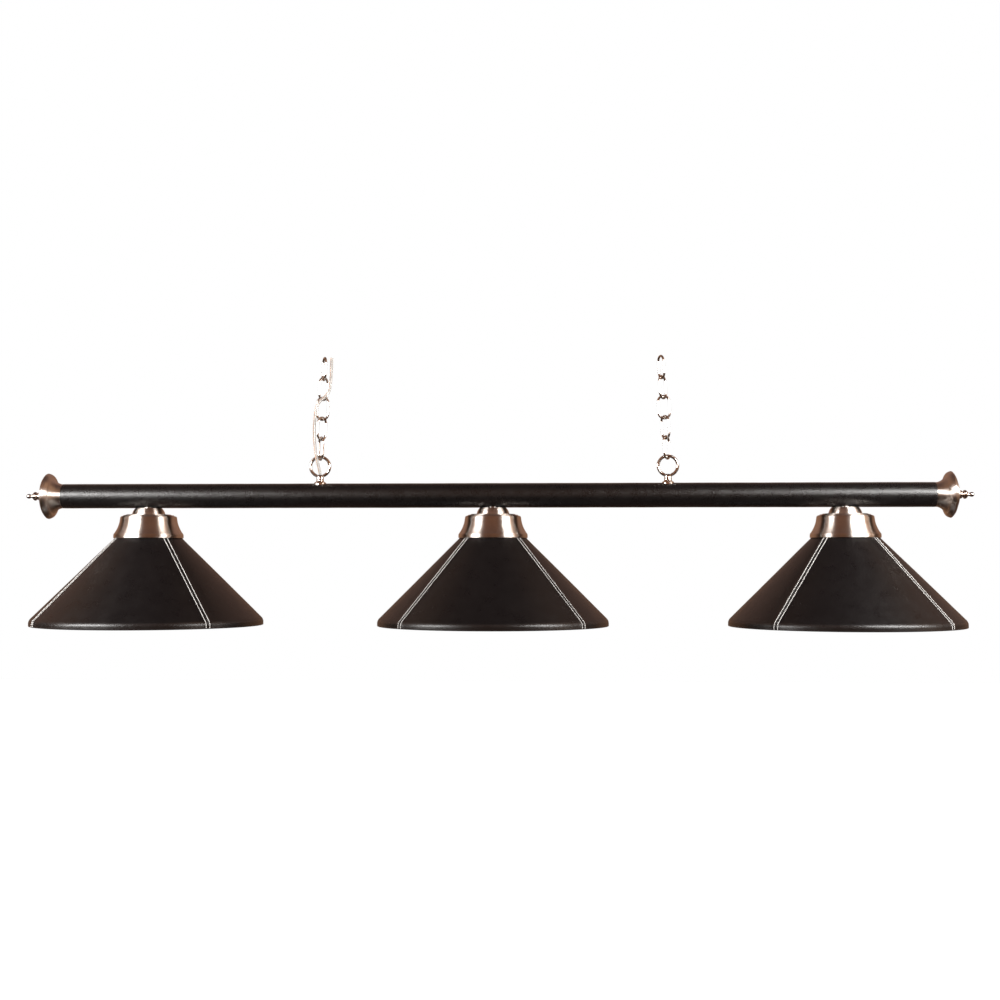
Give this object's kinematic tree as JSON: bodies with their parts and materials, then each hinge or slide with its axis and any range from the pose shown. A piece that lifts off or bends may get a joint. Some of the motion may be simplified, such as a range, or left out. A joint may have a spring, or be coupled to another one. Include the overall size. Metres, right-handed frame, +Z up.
{
  "type": "pool table lamp",
  "caption": "Hanging lamp for a pool table: a leather-wrapped bar on link chains, with conical leather shades under stepped metal fitters.",
  "frame": {"origin": "middle of the bar, on its axis", "axes": "+X along the bar to the right, -Y to the front, +Z up"},
  "size_m": [1.524, 0.3698, 0.4343],
  "materials": {
    "bar_leather": "satin",
    "shade_leather": "satin",
    "white_enamel": "gloss",
    "brushed_nickel": "satin",
    "bright_nickel": "polished",
    "tube_steel": "satin",
    "zinc_steel": "satin",
    "porcelain": "gloss",
    "brass": "satin",
    "bulb_metal": "satin",
    "opal_glass": "gloss",
    "clear_cord": "gloss",
    "black_nylon": "matte",
    "wire_insulation": "satin",
    "grey_plastic": "matte"
  },
  "bodies": {
    "fixture": {"bar_leather_wrap": "bar_leather", "bar_tube": "tube_steel", "bulb_base_left": "bulb_metal", "bulb_base_middle": "bulb_metal", "bulb_base_right": "bulb_metal", "bulb_glass_left": "opal_glass", "bulb_glass_middle": "opal_glass", "bulb_glass_right": "opal_glass", "cord_bushing": "black_nylon", "end_cap_left": "brushed_nickel", "end_cap_right": "brushed_nickel", "end_plug_left": "zinc_steel", "end_plug_right": "zinc_steel", "finial_left": "brushed_nickel", "finial_right": "brushed_nickel", "finial_studs": "zinc_steel", "fitter_cap_left": "brushed_nickel", "fitter_cap_middle": "brushed_nickel", "fitter_cap_right": "brushed_nickel", "hanging_loop_left": "bright_nickel", "hanging_loop_right": "bright_nickel", "lamp_wires": "wire_insulation", "loop_lock_washers": "zinc_steel", "loop_nuts": "zinc_steel", "neck_cap_left": "brushed_nickel", "neck_cap_middle": "brushed_nickel", "neck_cap_right": "brushed_nickel", "nipple_bottom_nuts": "zinc_steel", "nipple_top_nuts": "zinc_steel", "nipples": "brass", "power_cord": "clear_cord", "saddle_washers": "zinc_steel", "shade_clamp_washers": "zinc_steel", "shade_leather_left": "shade_leather", "shade_leather_middle": "shade_leather", "shade_leather_right": "shade_leather", "shade_shell_left": "white_enamel", "shade_shell_middle": "white_enamel", "shade_shell_right": "white_enamel", "shade_spacers": "zinc_steel", "socket_body_left": "porcelain", "socket_body_middle": "porcelain", "socket_body_right": "porcelain", "socket_contacts": "brass", "socket_screw_shell_left": "brass", "socket_screw_shell_middle": "brass", "socket_screw_shell_right": "brass", "wire_connectors": "grey_plastic"},
    "left_link_1": {"left_link_1": "bright_nickel"},
    "left_link_2": {"left_link_2": "bright_nickel"},
    "left_link_3": {"left_link_3": "bright_nickel"},
    "left_link_4": {"left_link_4": "bright_nickel"},
    "left_link_5": {"left_link_5": "bright_nickel"},
    "right_link_1": {"right_link_1": "bright_nickel"},
    "right_link_2": {"right_link_2": "bright_nickel"},
    "right_link_3": {"right_link_3": "bright_nickel"},
    "right_link_4": {"right_link_4": "bright_nickel"},
    "right_link_5": {"right_link_5": "bright_nickel"}
  },
  "joints": [
    {"name": "left_link_1_swivel", "type": "hinge", "parent": "fixture", "child": "left_link_1", "pos_m": [-0.2794, 0, 0.06259], "axis": [0.9993, 0, -0.0384], "range_deg": [-60, 60], "deforming": ["power_cord"]},
    {"name": "left_link_2_swivel", "type": "hinge", "parent": "left_link_1", "child": "left_link_2", "pos_m": [-0.27818, 0, 0.09426], "axis": [0.5147, -0.8572, -0.0198], "range_deg": [-60, 60]},
    {"name": "left_link_3_swivel", "type": "hinge", "parent": "left_link_2", "child": "left_link_3", "pos_m": [-0.27694, 0, 0.12657], "axis": [0.5732, 0.8192, -0.022], "range_deg": [-60, 60]},
    {"name": "left_link_4_swivel", "type": "hinge", "parent": "left_link_3", "child": "left_link_4", "pos_m": [-0.2757, 0, 0.15889], "axis": [0.9993, 0, -0.0384], "range_deg": [-60, 60]},
    {"name": "left_link_5_swivel", "type": "hinge", "parent": "left_link_4", "child": "left_link_5", "pos_m": [-0.27446, 0, 0.1912], "axis": [0.5732, 0.8192, -0.022], "range_deg": [-60, 60]},
    {"name": "right_link_1_swivel", "type": "hinge", "parent": "fixture", "child": "right_link_1", "pos_m": [0.27902, 0, 0.06257], "axis": [0.998, 0, 0.0628], "range_deg": [-60, 60]},
    {"name": "right_link_2_swivel", "type": "hinge", "parent": "right_link_1", "child": "right_link_2", "pos_m": [0.27703, 0, 0.0942], "axis": [0.514, 0.8572, 0.0323], "range_deg": [-60, 60]},
    {"name": "right_link_3_swivel", "type": "hinge", "parent": "right_link_2", "child": "right_link_3", "pos_m": [0.275, 0, 0.12647], "axis": [0.5724, -0.8192, 0.036], "range_deg": [-60, 60]},
    {"name": "right_link_4_swivel", "type": "hinge", "parent": "right_link_3", "child": "right_link_4", "pos_m": [0.27297, 0, 0.15875], "axis": [0.998, 0, 0.0628], "range_deg": [-60, 60]},
    {"name": "right_link_5_swivel", "type": "hinge", "parent": "right_link_4", "child": "right_link_5", "pos_m": [0.27094, 0, 0.19103], "axis": [0.5724, 0.8192, 0.036], "range_deg": [-60, 60]}
  ]
}
